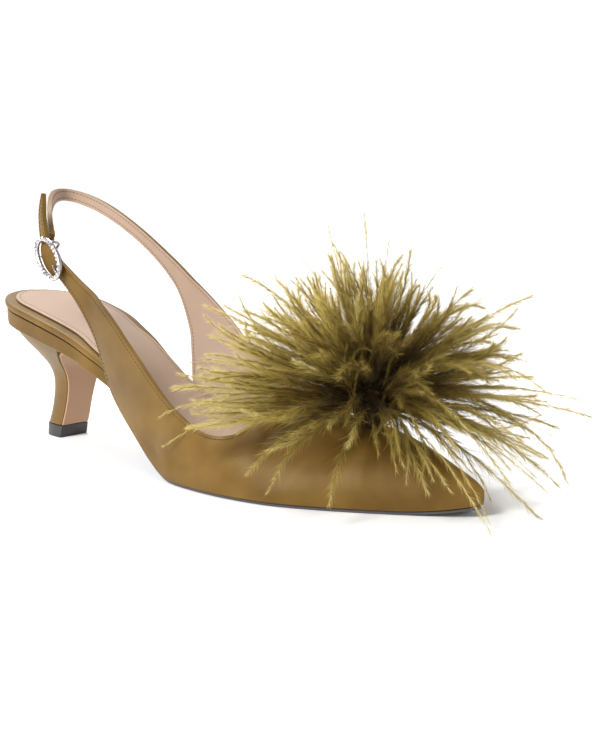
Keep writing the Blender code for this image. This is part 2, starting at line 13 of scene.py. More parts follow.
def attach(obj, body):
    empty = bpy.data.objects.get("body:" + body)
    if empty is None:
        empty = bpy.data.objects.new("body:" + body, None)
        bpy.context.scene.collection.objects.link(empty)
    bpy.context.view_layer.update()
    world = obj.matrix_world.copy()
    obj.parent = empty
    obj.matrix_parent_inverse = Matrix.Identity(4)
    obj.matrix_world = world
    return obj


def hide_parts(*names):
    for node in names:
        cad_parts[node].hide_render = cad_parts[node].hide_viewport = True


mm = 0.001
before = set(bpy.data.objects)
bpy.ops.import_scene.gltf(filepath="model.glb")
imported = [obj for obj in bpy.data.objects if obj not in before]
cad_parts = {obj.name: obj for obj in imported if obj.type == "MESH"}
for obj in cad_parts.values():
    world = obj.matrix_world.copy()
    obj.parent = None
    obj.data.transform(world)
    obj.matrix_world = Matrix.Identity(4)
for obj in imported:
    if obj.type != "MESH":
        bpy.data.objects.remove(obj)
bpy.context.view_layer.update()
print("frame loaded:", ", ".join(sorted(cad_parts)))


class Wire:
    # an output of a node: sums on it add Math nodes
    def __init__(self, finish, socket):
        self.finish = finish
        self.socket = socket

    def combine(self, operation, left, right):
        return self.finish.node("ShaderNodeMath", {"operation": operation}, {0: left, 1: right})

    def __add__(self, other):
        return self.combine("ADD", self, other)

    __radd__ = __add__

    def __sub__(self, other):
        return self.combine("SUBTRACT", self, other)

    def __rsub__(self, other):
        return self.combine("SUBTRACT", other, self)

    def __mul__(self, other):
        return self.combine("MULTIPLY", self, other)

    __rmul__ = __mul__


class Finish:
    # one material: its fixed values go straight to the shader's sockets
    def __init__(self, name, **fixed):
        self.material = bpy.data.materials.new(name)
        self.material.use_nodes = True
        self.tree = self.material.node_tree
        self.shader = self.tree.nodes["Principled BSDF"]
        for key, value in fixed.items():
            self.shader.inputs[key.replace("_", " ")].default_value = value

    def node(self, kind, settings=None, values=None, output=0):
        made = self.tree.nodes.new(kind)
        for key, value in (settings or {}).items():
            if key == "stops":
                ramp = made.color_ramp
                while len(ramp.elements) < len(value):
                    ramp.elements.new(0.5)
                for stop, (place, colour) in zip(ramp.elements, value):
                    stop.position = place
                    stop.color = (*colour, 1.0)
            else:
                setattr(made, key, value)
        for key, value in (values or {}).items():
            self.feed(made.inputs[key], value)
        return Wire(self, made.outputs[output])

    def feed(self, socket, value):
        if isinstance(value, Wire):
            self.tree.links.new(value.socket, socket)
        else:
            socket.default_value = value

    def place(self, stretch=(1.0, 1.0, 1.0)):
        spot = self.node("ShaderNodeTexCoord", output="Object")
        return self.node("ShaderNodeMapping", {}, {"Vector": spot, "Scale": stretch})

    def noise(self, scale, detail=2.0, stretch=(1.0, 1.0, 1.0)):
        return self.node("ShaderNodeTexNoise", {}, {
            "Vector": self.place(stretch), "Scale": scale, "Detail": detail, "Roughness": 0.55})

    def mix(self, amount, first, second):
        first, second = [c if isinstance(c, Wire) else (*c, 1.0) for c in (first, second)]
        values = {0: amount, 6: first, 7: second}
        return self.node("ShaderNodeMix", {"data_type": "RGBA"}, values, 2)

    def bump(self, height, strength, distance):
        return self.node("ShaderNodeBump", {}, {
            "Height": height, "Strength": strength, "Distance": distance * mm})

    def surface(self, **linked):
        for key, value in linked.items():
            self.feed(self.shader.inputs[key.replace("_", " ")], value)
        return self.material


satinLook = {"deep": (0.088, 0.043, 0.005), "light": (0.165, 0.088, 0.015), "rough": 0.42}
leatherLook = {"deep": (0.320, 0.218, 0.155), "light": (0.395, 0.280, 0.205)}
nudeLook = {"deep": (0.330, 0.190, 0.105), "light": (0.430, 0.255, 0.150)}
featherLook = [
    (0.00, (0.018, 0.009, 0.002)), (0.20, (0.062, 0.034, 0.005)), (0.48, (0.205, 0.135, 0.022)),
    (0.76, (0.385, 0.290, 0.070)), (1.00, (0.580, 0.470, 0.175)),
]


def satinFinish(name="satin", shade=1.0):
    made = Finish(name, Sheen_Weight=0.10, Sheen_Roughness=0.4, Specular_IOR_Level=0.38,
                  Specular_Tint=(1.0, 0.84, 0.52, 1.0), Sheen_Tint=(1.0, 0.84, 0.5, 1.0))
    cloudy = made.noise(38.0, 3.0)
    threads = made.noise(2600.0, 1.0, (0.25, 1.0, 1.0))
    slubs = made.noise(700.0, 2.0, (0.12, 1.0, 1.0))
    deep = tuple(c * shade for c in satinLook["deep"])
    light = tuple(c * shade for c in satinLook["light"])
    colour = made.mix((cloudy - 0.5) * 2.6 + threads * 0.3 + 0.35, deep, light)
    rough = satinLook["rough"] + cloudy * 0.10 + slubs * 0.04
    relief = made.bump(threads * 0.7 + slubs * 0.3, 0.10, 0.05)
    return made.surface(Base_Color=colour, Roughness=rough, Normal=relief)


def leatherFinish(name, look):
    made = Finish(name, Specular_IOR_Level=0.35)
    cloudy = made.noise(45.0, 3.0)
    pores = made.node("ShaderNodeTexVoronoi", {"feature": "DISTANCE_TO_EDGE"},
                      {"Vector": made.place(), "Scale": 1300.0})
    colour = made.mix(cloudy, look["deep"], look["light"])
    relief = made.bump(pores, 0.12, 0.10)
    return made.surface(Base_Color=colour, Roughness=0.46 + cloudy * 0.12, Normal=relief)


def threadFinish(name, colour):
    made = Finish(name, Specular_IOR_Level=0.3)
    twist = made.noise(3200.0, 1.0)
    dark = tuple(c * 0.6 for c in colour)
    return made.surface(Base_Color=made.mix(twist, dark, colour), Roughness=0.7 + twist * 0.1)


def soleFinish():
    made = Finish("soleEdge", Coat_Weight=0.15, Coat_Roughness=0.3)
    scuffs = made.noise(160.0, 4.0, (0.3, 1.0, 1.0))
    colour = made.mix(scuffs, (0.040, 0.036, 0.038), (0.105, 0.096, 0.098))
    return made.surface(Base_Color=colour, Roughness=0.38 + scuffs * 0.2,
                        Normal=made.bump(scuffs, 0.15, 0.1))


def rubberFinish():
    made = Finish("topPieceRubber")
    grain = made.noise(900.0, 2.0)
    colour = made.mix(grain, (0.016, 0.014, 0.014), (0.034, 0.031, 0.031))
    return made.surface(Base_Color=colour, Roughness=0.42 + grain * 0.12,
                        Normal=made.bump(grain, 0.15, 0.08))


def silverFinish():
    made = Finish("silver", Metallic=1.0)
    wear = made.noise(500.0, 2.0)
    colour = made.mix(wear, (0.34, 0.33, 0.34), (0.56, 0.54, 0.56))
    return made.surface(Base_Color=colour, Roughness=0.16 + wear * 0.12)


def stoneFinish():
    made = Finish("clearStone", IOR=1.7, Specular_IOR_Level=0.5,
                  Coat_Weight=0.3, Coat_Roughness=0.05)
    # the clear stones' colour is mottled near black and near white by noise: painted glints and
    # reflections
    paintedSparkle = (made.noise(1100.0, 0.0) - 0.5) * 3.0 + 0.5
    colour = made.mix(paintedSparkle, (0.150, 0.110, 0.130), (0.860, 0.800, 0.830))
    return made.surface(Base_Color=colour, Roughness=0.10 + paintedSparkle * 0.08)


def featherFinish():
    made = Finish("feather", Specular_IOR_Level=0.08, Sheen_Weight=0.05,
                  Sheen_Tint=(1.0, 0.92, 0.62, 1.0))
    tone = made.node("ShaderNodeAttribute", {"attribute_name": "tone"}, output="Fac")
    patches = made.noise(160.0, 2.0)
    colour = made.node("ShaderNodeValToRGB", {"stops": featherLook},
                       {"Fac": tone + patches * 0.16 - 0.08})
    return made.surface(Base_Color=colour, Roughness=0.62 + patches * 0.1)


satin = satinFinish()
# a copy of the satin at 0.94 of its colour, for the rand and the keeper; on the keeper the darker
# colour is painted shade
darkSatin = satinFinish("satinRand", 0.94)
lining = leatherFinish("liningLeather", leatherLook)
nude = leatherFinish("nudeLeather", nudeLook)
thread = threadFinish("satinThread", (0.062, 0.034, 0.010))
paleThread = threadFinish("liningThread", (0.110, 0.068, 0.036))
sole = soleFinish()
rubber = rubberFinish()
silver = silverFinish()
stone = stoneFinish()
feather = featherFinish()
print("finishes mixed")


def piece(name, mesh, finishes, slot, *nodes):
    # one finished piece: it rides on the only body, and stands for its solids
    made = bpy.data.objects.new(name, mesh)
    bpy.context.scene.collection.objects.link(made)
    for finish in finishes:
        mesh.materials.append(finish)
    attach(made, "root")
    if nodes:
        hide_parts(*nodes)
    return made


def baked(bm, levels):
    # the subdivided shape of a bmesh, as a mesh of its own
    rough = bpy.data.meshes.new("rough")
    bm.to_mesh(rough)
    carrier = bpy.data.objects.new("carrier", rough)
    bpy.context.scene.collection.objects.link(carrier)
    finer = carrier.modifiers.new("finer", "SUBSURF")
    finer.levels = levels
    finer.render_levels = levels
    finer.use_limit_surface = False
    seen = carrier.evaluated_get(bpy.context.evaluated_depsgraph_get())
    mesh = bpy.data.meshes.new_from_object(seen)
    bpy.data.objects.remove(carrier)
    bpy.data.meshes.remove(rough)
    mesh.shade_smooth()
    return mesh


def solidCopy(node):
    # a solid's loose triangles, merged and paired up again
    bm = bmesh.new()
    bm.from_mesh(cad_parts[node].data)
    bmesh.ops.remove_doubles(bm, verts=bm.verts[:], dist=0.002 * mm)
    bmesh.ops.join_triangles(bm, faces=bm.faces[:], angle_face_threshold=math.radians(25),
                             angle_shape_threshold=math.radians(70))
    bm.normal_update()
    return bm


def roundEdges(bm, width, angle, segments=2):
    sharp = [edge for edge in bm.edges
             if len(edge.link_faces) == 2 and edge.calc_face_angle() > math.radians(angle)]
    bmesh.ops.bevel(bm, geom=sharp, offset=width * mm, affect="EDGES", segments=segments,
                    profile=0.5, material=-1, clamp_overlap=True)


def regions(bm, angle):
    # groups of faces with no sharp edge between them, largest area first
    left = set(bm.faces)
    found = []
    while left:
        group, reached = [], [left.pop()]
        while reached:
            face = reached.pop()
            group.append(face)
            for edge in face.edges:
                if len(edge.link_faces) == 2 and edge.calc_face_angle() < math.radians(angle):
                    for other in edge.link_faces:
                        if other in left:
                            left.remove(other)
                            reached.append(other)
        found.append(group)
    return sorted(found, key=lambda group: -sum(face.calc_area() for face in group))


def rims(group):
    # the closed edge lines round a group of faces: points, and the way inwards at each
    inside = set(group)
    following = {}
    for face in group:
        for loop in face.loops:
            others = [other for other in loop.edge.link_faces if other not in inside]
            if others:
                start, end = loop.vert, loop.link_loop_next.vert
                inwards = (face.normal.cross(end.co - start.co)).normalized()
                following[start] = (end, inwards)
    lines = []
    while following:
        start, (vert, inwards) = following.popitem()
        line = [(start.co.copy(), inwards)]
        while vert in following:
            step, way = following.pop(vert)
            line.append((vert.co.copy(), way))
            vert = step
        lines.append(line)
    return lines


def dashes(line, setIn, step, keep):
    # evenly spaced places along a closed line, moved in from it
    spots = np.array([point + way * setIn * mm for point, way in line])
    closed = np.vstack([spots, spots[:1]])
    runs = np.linalg.norm(np.diff(closed, axis=0), axis=1)
    along = np.concatenate([[0.0], np.cumsum(runs)])
    count = max(int(along[-1] / (step * mm)), 3)
    at = np.arange(count) * along[-1] / count
    made = np.array([np.interp(at, along, closed[:, k]) for k in range(3)]).T
    return [Vector(spot) if keep(spot / mm) else None for spot in made]


def stitchLine(bm, template, spots, skin, size, sink):
    # sews along the places: each stitch lies on the skin, along the line
    for before, here, after in zip(spots[-1:] + spots[:-1], spots, spots[1:] + spots[:1]):
        if before is None or here is None or after is None:
            continue
        spot, normal = skin.find_nearest(here)[:2]
        run = (after - before).normalized()
        side = normal.cross(run).normalized()
        turn = Matrix((run, side, run.cross(side))).transposed().to_4x4()
        turn.translation = spot + normal * (size[2] / 2 - sink) * mm
        copy = template.copy()
        copy.transform(turn @ Matrix.Diagonal((*[s * mm for s in size], 1.0)))
        bm.from_mesh(copy)
        bpy.data.meshes.remove(copy)


def stitchTemplate():
    bm = bmesh.new()
    bmesh.ops.create_uvsphere(bm, u_segments=6, v_segments=4, radius=0.5)
    lying = Matrix.Rotation(math.pi / 2, 3, "Y")
    bmesh.ops.rotate(bm, verts=bm.verts[:], cent=(0, 0, 0), matrix=lying)
    mesh = bpy.data.meshes.new("stitch")
    bm.to_mesh(mesh)
    bm.free()
    mesh.shade_smooth()
    return mesh


def skinOf(mesh):
    bm = bmesh.new()
    bm.from_mesh(mesh)
    tree = BVHTree.FromBMesh(bm)
    bm.free()
    return tree


# the upper: satin outside and over the edge, leather inside, soft creases pressed in
upperSettings = {
    "edge": 0.4, "levels": 2, "sharp": 50.0,
    # the height that the sides bulge away from, where a side begins, and how the
    # creases fade in above the sole
    "axisHeight": 8.0, "sideFrom": 12.0, "fadeFrom": 1.0, "fadeOver": 5.0,
    # from (x, z) to (x, z) on one side, its half width and its depth
    "creases": [
        ("lateral", (136.0, 21.0), (116.0, 9.5), 6.0, 1.5),
        ("lateral", (149.0, 17.0), (128.0, 5.0), 5.5, -0.7),
        ("lateral", (104.0, 27.0), (98.0, 14.0), 7.0, 0.8),
        ("lateral", (172.0, 20.0), (160.0, 7.0), 8.0, 0.6),
        ("medial", (134.0, 20.0), (116.0, 9.0), 6.5, 1.2),
        ("medial", (148.0, 17.0), (130.0, 6.0), 6.0, -0.6),
        ("medial", (106.0, 27.0), (100.0, 14.0), 7.0, 0.7),
    ],
    "puckers": {"pitch": 3.1, "depth": 0.10, "reach": 4.0, "slant": 0.6,
                "from": 195.0, "over": 20.0, "fadeFrom": 0.2, "fadeOver": 1.0},
}
stitchSettings = {"in": 1.25, "step": 1.75, "size": (1.25, 0.30, 0.26), "sink": 0.07,
                  "overSole": 4.0}
# the sole's upper edge seen from the side, as (x, z)
soleEdge = [(60.0, 33.0), (67.6, 28.0), (75.0, 21.0), (84.0, 14.0), (92.0, 8.5), (102.0, 4.2),
            (112.0, 2.9), (202.0, 2.9), (227.0, 6.0)]


def overSole(x, z):
    return z - np.interp(x, *zip(*soleEdge))


def pressCreases(mesh):
    spots = np.empty(len(mesh.vertices) * 3)
    mesh.vertices.foreach_get("co", spots)
    spots = spots.reshape(-1, 3) / mm
    out = spots - np.array([0.0, 0.0, upperSettings["axisHeight"]])
    out[:, 0] = 0.0
    out /= np.maximum(np.linalg.norm(out, axis=1), 1e-6)[:, None]
    for side, start, end, width, depth in upperSettings["creases"]:
        a, b = np.array(start), np.array(end)
        flat = spots[:, [0, 2]]
        t = np.clip(((flat - a) @ (b - a)) / ((b - a) @ (b - a)), 0.0, 1.0)
        away = np.linalg.norm(flat - (a + t[:, None] * (b - a)), axis=1)
        press = np.exp(-(away / width) ** 2)
        across = -spots[:, 1] if side == "lateral" else spots[:, 1]
        there = across > upperSettings["sideFrom"]
        over = overSole(spots[:, 0], spots[:, 2]) - upperSettings["fadeFrom"]
        free = np.clip(over / upperSettings["fadeOver"], 0.0, 1.0)
        spots -= out * (press * depth * free * there)[:, None]
    pucker = upperSettings["puckers"]
    over = overSole(spots[:, 0], spots[:, 2])
    near = np.exp(-np.maximum(over, 0.0) / pucker["reach"])
    near *= np.clip((over - pucker["fadeFrom"]) / pucker["fadeOver"], 0, 1)
    front = np.clip((spots[:, 0] - pucker["from"]) / pucker["over"], 0.0, 1.0)
    along = spots[:, 0] + pucker["slant"] * np.abs(spots[:, 1])
    ripple = np.sin(2 * np.pi * along / pucker["pitch"])
    spots += out * (ripple * pucker["depth"] * near * front)[:, None]
    mesh.vertices.foreach_set("co", (spots * mm).ravel())
    mesh.update()


def makeUpper():
    bm = solidCopy("upper")
    outer, inner = regions(bm, upperSettings["sharp"])[:2]
    for face in inner:
        face.material_index = 1
    outerRims, innerRims = rims(outer), rims(inner)
    roundEdges(bm, upperSettings["edge"], upperSettings["sharp"])
    mesh = baked(bm, upperSettings["levels"])
    bm.free()
    pressCreases(mesh)
    piece("satinUpper", mesh, [satin, lining], "satin", "upper")
    skin = skinOf(mesh)
    template = stitchTemplate()
    seams = (("satinStitches", outerRims, thread), ("liningStitches", innerRims, paleThread))
    for name, lines, finish in seams:
        sewn = bmesh.new()
        for line in lines:
            spots = dashes(line, stitchSettings["in"], stitchSettings["step"],
                           lambda spot: overSole(spot[0], spot[2]) > stitchSettings["overSole"])
            stitchLine(sewn, template, spots, skin, stitchSettings["size"], stitchSettings["sink"])
        made = bpy.data.meshes.new(name)
        sewn.to_mesh(made)
        sewn.free()
        piece(name, made, [finish], "satin")
        print(name, len(made.polygons), "faces")
    print("upper dressed:", len(mesh.polygons), "faces,", len(outerRims), "outer rims")


makeUpper()


# the rest of the shoe's own solids, rounded and smoothed
dressSettings = {
    # node: name, finish, slot, edge radius, edge angle, levels
    "insole": ("satinRim", satin, "satin", 0.0, 60.0, 2),
    "sock_lining": ("sockLining", lining, "sock", 0.0, 60.0, 2),
    "outsole": ("outsoleEdge", sole, "sole", 0.2, 50.0, 2),
    "shank_rand": ("satinRand", darkSatin, "satin", 0.25, 40.0, 2),
    "heel_block": ("satinHeel", satin, "satin", 0.35, 40.0, 2),
    "breast_panel": ("breastPanel", nude, "nude_leather", 0.2, 50.0, 2),
    "top_piece": ("topPiece", rubber, "top_piece", 0.35, 40.0, 2),
    "buckle_bar": ("buckleBar", silver, "buckle", 0.0, 60.0, 1),
    "buckle_prong": ("buckleProng", silver, "buckle", 0.0, 60.0, 1),
}


def makeDressed():
    for node, (name, finish, slot, edge, angle, levels) in dressSettings.items():
        bm = solidCopy(node)
        if edge:
            roundEdges(bm, edge, angle)
        mesh = baked(bm, levels)
        bm.free()
        piece(name, mesh, [finish], slot, node)
    print("solids dressed:", ", ".join(dressSettings))


makeDressed()


# a line of stitches round the sock, inside its edge
sockSeam = {"in": 1.9, "step": 1.7, "size": (1.2, 0.26, 0.22), "sink": 0.08,
            "faceUp": 0.55, "until": 185.0}


def makeSockSeam():
    bm = solidCopy("sock_lining")
    top = [face for face in bm.faces if face.normal.z > sockSeam["faceUp"]]
    lines = rims(top)
    lines.sort(key=len, reverse=True)
    skin = skinOf(bpy.data.objects["sockLining"].data)
    sewn = bmesh.new()
    spots = dashes(lines[0], sockSeam["in"], sockSeam["step"],
                   lambda spot: spot[0] < sockSeam["until"])
    stitchLine(sewn, stitchTemplate(), spots, skin, sockSeam["size"], sockSeam["sink"])
    mesh = bpy.data.meshes.new("sockStitches")
    sewn.to_mesh(mesh)
    sewn.free()
    bm.free()
    piece("sockStitches", mesh, [paleThread], "sock")
    print("sock seam sewn:", len(mesh.polygons), "faces")


makeSockSeam()


# the buckle: a silver ring with clear stones all round its face
buckleSettings = {
    "wire": 1.0, "wireWide": 1.05, "wireDeep": 0.9, "inset": 1.2, "steps": 96, "sides": 8,
    "stones": 24, "stoneRadius": 0.98, "stand": 0.55, "facets": 8, "stoneTurn": 0.7,
    # radii and depth of a stone's table and of its foot, in stone radii
    "table": 0.55, "tableDeep": 0.6, "foot": 0.3, "footDeep": 0.8,
    "keeperBack": -1.9, "keeperThick": 0.8, "keeperInset": 0.6, "keeperSides": 48,
}


def buckleAxes():
    spots = np.array([vert.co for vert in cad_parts["buckle_frame"].data.vertices])
    middle = spots.mean(0)
    axes = np.linalg.svd(spots - middle, full_matrices=False)[2]
    longWay, shortWay, out = [Vector(axis) for axis in axes]
    if out.y > 0:
        out = -out
    longReach, shortReach = np.abs((spots - middle) @ axes.T).max(0)[:2]
    return Vector(middle), longWay, shortWay, out, longReach, shortReach


def makeBuckle():
    middle, longWay, shortWay, out, longReach, shortReach = buckleAxes()
    wire = buckleSettings["wire"] * mm
    sides = buckleSettings["sides"]
    longReach -= wire * buckleSettings["inset"]
    shortReach -= wire * buckleSettings["inset"]

    def spoke(angle):
        return longWay * math.cos(angle) * longReach + shortWay * math.sin(angle) * shortReach

    bm = bmesh.new()
    rings = []
    for k in range(buckleSettings["steps"]):
        angle = 2 * math.pi * k / buckleSettings["steps"]
        away = longWay * math.cos(angle) * shortReach + shortWay * math.sin(angle) * longReach
        away.normalize()
        ring = []
        for j in range(sides):
            turn = 2 * math.pi * j / sides
            outward = (away * math.cos(turn) * buckleSettings["wireWide"]
                       + out * math.sin(turn) * buckleSettings["wireDeep"])
            ring.append(bm.verts.new(middle + spoke(angle) + wire * outward))
        rings.append(ring)
    for ring, following in zip(rings, rings[1:] + rings[:1]):
        for j in range(sides):
            k = (j + 1) % sides
            bm.faces.new((ring[j], ring[k], following[k], following[j]))
    bmesh.ops.recalc_face_normals(bm, faces=bm.faces[:])
    mesh = bpy.data.meshes.new("buckleRing")
    bm.to_mesh(mesh)
    bm.free()
    mesh.shade_smooth()
    piece("buckleRing", mesh, [silver], "buckle", "buckle_frame")

    gems = bmesh.new()
    radius = buckleSettings["stoneRadius"] * mm
    angles = np.linspace(0, 2 * math.pi, 721)
    runs = np.hypot(np.diff(np.cos(angles)) * longReach, np.diff(np.sin(angles)) * shortReach)
    along = np.concatenate([[0.0], np.cumsum(runs)])
    # each stone is a table over a foot: radii below and above, depth, and which way
    halves = (
        (1.0, buckleSettings["table"], buckleSettings["tableDeep"], 0.5),
        (buckleSettings["foot"], 1.0, buckleSettings["footDeep"], -0.5),
    )
    for k in range(buckleSettings["stones"]):
        angle = np.interp(along[-1] * (k + 0.5) / buckleSettings["stones"], along, angles)
        turn = Matrix((longWay, shortWay, out)).transposed().to_4x4()
        turn.translation = middle + spoke(angle) + out * buckleSettings["stand"] * mm
        turn = turn @ Matrix.Rotation(k * buckleSettings["stoneTurn"], 4, "Z")
        for below, above, deep, shift in halves:
            bmesh.ops.create_cone(
                gems, cap_ends=True, segments=buckleSettings["facets"], radius1=radius * below,
                radius2=radius * above, depth=radius * deep,
                matrix=turn @ Matrix.Translation((0, 0, radius * deep * shift)))
    mesh = bpy.data.meshes.new("buckleStones")
    gems.to_mesh(mesh)
    gems.free()
    piece("buckleStones", mesh, [stone], "buckle")

    # the satin-covered keeper that fills the ring behind the strap, in the darker satin copy:
    # painted shade
    keeper = bmesh.new()
    turn = Matrix((longWay, shortWay, out)).transposed().to_4x4()
    turn.translation = middle + out * buckleSettings["keeperBack"] * mm
    inset = radius * buckleSettings["keeperInset"]
    size = Matrix.Diagonal((longReach - inset, shortReach - inset, 1.0, 1.0))
    bmesh.ops.create_cone(keeper, cap_ends=True, segments=buckleSettings["keeperSides"],
                          radius1=1.0, radius2=1.0, depth=buckleSettings["keeperThick"] * mm,
                          matrix=turn @ size)
    mesh = bpy.data.meshes.new("buckleKeeper")
    keeper.to_mesh(mesh)
    keeper.free()
    piece("buckleKeeper", mesh, [darkSatin], "satin")
    print("buckle set with", buckleSettings["stones"], "stones")


makeBuckle()


# the puff: fine fronds from one knot on the vamp, plus the listed stray ones
puffSettings = {
    "core": (180.5, -1.5, 37.0), "knot": (7.5, 7.0, 10.0), "knotPlace": (180.0, -1.0, 35.0),
    "steps": 12, "clear": 1.6, "clearWithin": 12.0, "floor": 0.3, "pieces": 4, "seed": 11,
    # how the tone runs from the knot to the tips
    "tonePart": 0.16, "toneOut": 0.88, "toneFrom": 11.0, "toneOver": 46.0,
}
frondSettings = {
    "count": 430, "reach": 57.0, "vary": 0.12, "dome": 0.98, "low": 0.38, "lowPower": 1.5,
    "rootOut": 6.0, "rootRise": 8.0, "riseTop": 1.6, "riseDown": 0.6, "lowest": -0.05,
    "clump": 5, "clumpSpread": 0.12, "spread": 0.10,
    # fronds that point at the photo's camera are thinned out and shorter
    "near": 0.62, "nearOut": 3, "nearShort": 0.45,
    "droop": 8.0, "droopToe": 17.0, "droopVary": (0.4, 1.3), "heelLift": 5.0,
    "bend": 0.085, "bendFirst": 0.6, "knees": (0.35, 0.72), "kneeLift": 2.0, "kneeDroop": 0.3,
    "tint": 0.09,
}
barbSettings = {
    "count": 320, "length": 6.6, "width": 0.085, "stem": 0.16, "stemTip": 0.3, "from": 0.06,
    "opening": 17.0, "openingVary": 8.0, "openingLeast": 2.0, "stray": 0.06, "sag": 0.06,
    "base": 0.35, "swell": 0.80, "swellEarly": 0.85, "swellFlat": 0.8, "vary": (0.5, 1.3),
    "shade": 0.05, "shadeTimes": 4, "tipTone": 0.12,
}
# tips of the stray fronds, how far each one bows up, and how full it is
straySettings = {"root": 0.7, "wobble": 2.0, "tint": 0.05, "barbs": 0.8}
strayFronds = [
    ((106.7, -36.0, 26.0), 9.0, 0.8), ((110.8, -38.0, 15.4), 12.0, 0.9),
    ((92.0, -8.0, 42.0), 6.0, 0.6), ((100.0, 25.0, 62.0), 5.0, 0.5),
    ((112.0, 20.0, 78.0), 3.0, 0.4), ((132.2, 15.0, 85.1), 3.0, 0.4),
    ((154.8, 5.0, 97.2), 2.0, 0.3), ((171.6, 5.0, 102.4), 2.0, 0.4),
    ((179.1, 10.0, 92.1), 3.0, 0.3), ((195.6, 20.0, 83.5), 4.0, 0.4),
    ((201.8, 40.0, 71.6), 6.0, 0.3), ((217.0, 40.0, 50.8), 7.0, 0.6),
    ((248.2, 35.0, 36.8), 7.0, 0.4), ((229.5, 45.0, 36.9), 8.0, 0.6),
    ((238.0, 28.0, 25.0), 12.0, 0.7), ((245.2, 10.0, 10.6), 16.0, 0.6),
    ((240.5, 11.0, 14.6), 16.0, 0.6), ((237.3, -12.0, 3.2), 20.0, 0.7),
    ((246.0, -24.0, 3.0), 18.0, 0.5), ((222.0, -22.0, 17.0), 7.0, 0.9),
    ((213.0, -26.0, 21.0), 7.0, 0.8), ((205.0, -29.0, 24.0), 6.0, 0.7),
    ((229.0, -22.0, 14.0), 8.0, 0.6), ((118.0, -30.0, 27.0), 8.0, 0.8),
    ((114.0, -20.0, 33.0), 7.0, 0.8), ((121.0, -24.0, 31.0), 6.0, 0.8),
]
tuftSettings = {"count": 90, "rise": (-8.0, 6.0), "reach": (9.0, 17.0), "wobble": 3.0,
                "fullness": 1.3, "tint": -0.10, "barbs": 0.6}
curlSettings = {"fullness": 2.0, "tint": 0.34, "barbs": 0.42}
# short curls in front of the knot, as seen in the photo: across, up and nearer, in mm
curls = [
    [(-3, -6, 7), (-12, 4, 12), (-8, 22, 12), (-1, 16, 14)],
    [(-5, -4, 8), (-13, 6, 13), (-11, 24, 11), (-5, 19, 13)],
    [(2, -6, 8), (4, 4, 14), (8, 9, 14), (17, 10, 12)],
    [(4, -9, 8), (6, 0, 15), (12, 8, 14), (20, 5, 14)],
    [(-6, -6, 8), (-8, 0, 13), (-6, 8, 13), (-4, 12, 12)],
    [(-4, -8, 8), (-9, -6, 12), (-12, -2, 12), (-15, -7, 12)],
    [(0, -6, 9), (3, -4, 14), (4, -10, 15), (0, -13, 14)],
    [(3, 3, 8), (6, 8, 13), (4, 16, 13), (10, 15, 12)],
    [(-2, 6, 7), (-3, 15, 12), (4, 22, 12), (8, 14, 14)],
    [(5, -4, 9), (10, -8, 14), (8, -14, 14), (3, -12, 15)],
]
# across, up and towards the camera, as the photo sees the shoe
viewAxes = [(0.7495, 0.6620, -0.0042), (-0.0920, 0.1106, 0.9896), (0.6556, -0.7413, 0.1438)]


# a three-sided barb or stalk has its corners at these angles; a barb's tip is the fourth
corners = (0.0, 2.094, 4.189)
barbFaces = np.array([(2, 1, 0), (0, 1, 3), (1, 2, 3), (2, 0, 3)])


def bentCourse(controls, steps):
    # a smooth curve between the first and the last control point
    t = np.linspace(0.0, 1.0, steps)[:, None]
    rows = [np.ones((steps, 1)) * np.array(spot) for spot in controls]
    while len(rows) > 1:
        rows = [(1 - t) * a + t * b for a, b in zip(rows, rows[1:])]
    return rows[0]


def liftedClear(course, skin, clear):
    # no frond runs into the vamp: low spots are pushed back out over it
    lifted = course.copy()
    for k, spot in enumerate(course):
        near, normal, face, away = skin.find_nearest(Vector(spot) * mm)
        over = (Vector(spot) * mm - near).dot(normal) / mm
        if over < clear and away < puffSettings["clearWithin"] * mm and normal.z > 0.0:
            lifted[k] += np.array(normal) * (clear - over)
    return lifted


def crossFrame(run):
    run = run / np.linalg.norm(run, axis=-1, keepdims=True)
    upright = np.abs(run[..., 2:3]) > 0.8
    guide = np.where(upright, np.array([1.0, 0.0, 0.0]), np.array([0.0, 0.0, 1.0]))
    first = np.cross(run, guide)
    first /= np.linalg.norm(first, axis=-1, keepdims=True)
    return first, np.cross(run, first)


def stemMesh(course, radius):
    # a three-sided stalk, closed at both ends
    run = np.gradient(course, axis=0)
    first, second = crossFrame(run)
    width = radius * np.linspace(1.0, barbSettings["stemTip"], len(course))[:, None]
    sides = [course + width * (first * math.cos(a) + second * math.sin(a)) for a in corners]
    spots = np.stack(sides, axis=1).reshape(-1, 3)
    faces = [(2, 1, 0)]
    for i in range(len(course) - 1):
        for k in range(3):
            a, b = 3 * i + k, 3 * i + (k + 1) % 3
            faces += [(a, b, b + 3), (a, b + 3, a + 3)]
    last = 3 * (len(course) - 1)
    faces.append((last, last + 1, last + 2))
    return spots, np.array(faces), np.repeat(np.linspace(0.0, 1.0, len(course)), 3)




